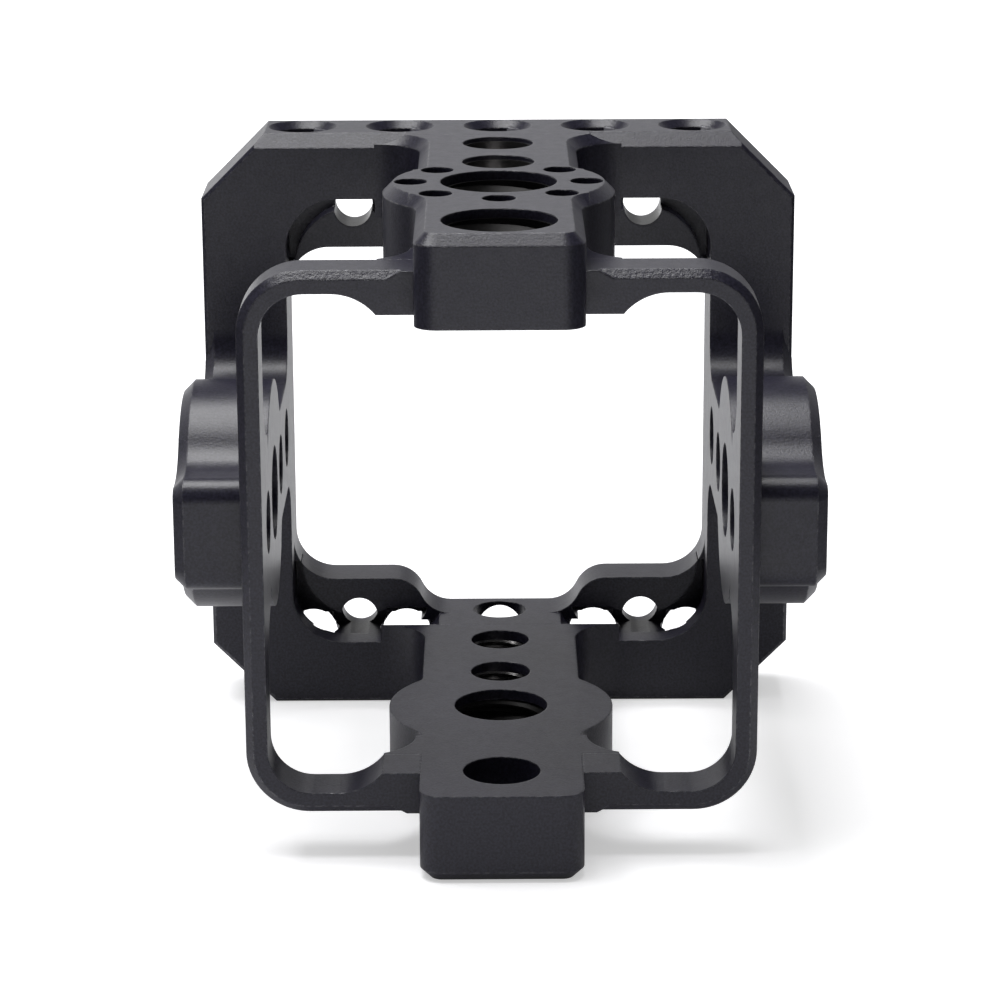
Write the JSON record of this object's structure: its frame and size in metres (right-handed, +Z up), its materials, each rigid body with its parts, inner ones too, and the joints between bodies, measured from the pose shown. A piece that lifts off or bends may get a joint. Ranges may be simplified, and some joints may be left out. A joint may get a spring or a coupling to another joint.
{
  "type": "camera cage",
  "caption": "Black camera cage: a thin front hoop and a corner-cut rear frame joined by lobed arms with rows of threaded accessory holes.",
  "frame": {"origin": "on the floor under the middle of the cage", "axes": "+X to the right seen from the front, +Y from the front hoop to the rear frame, +Z up"},
  "size_m": [0.0576, 0.0568, 0.0578],
  "materials": {
    "anodised": "bead-blasted and black anodised",
    "dark_steel": "blackened"
  },
  "bodies": {
    "root": {"rear_frame": "anodised", "top_arm": "anodised", "bottom_arm": "anodised", "left_arm": "anodised", "right_arm": "anodised", "left_hoop": "anodised", "right_hoop": "anodised", "top_arm_screws": "dark_steel", "bottom_arm_screws": "dark_steel", "left_arm_screws": "dark_steel", "right_arm_screws": "dark_steel", "top_foot_pins": "dark_steel", "bottom_foot_pins": "dark_steel", "left_side_pins": "dark_steel", "right_side_pins": "dark_steel", "top_large_sleeves": "dark_steel", "top_small_sleeves": "dark_steel", "bottom_large_sleeve": "dark_steel", "bottom_small_sleeves": "dark_steel", "left_large_sleeve": "dark_steel", "left_small_sleeves": "dark_steel", "right_large_sleeve": "dark_steel", "right_small_sleeves": "dark_steel"}
  },
  "joints": []
}
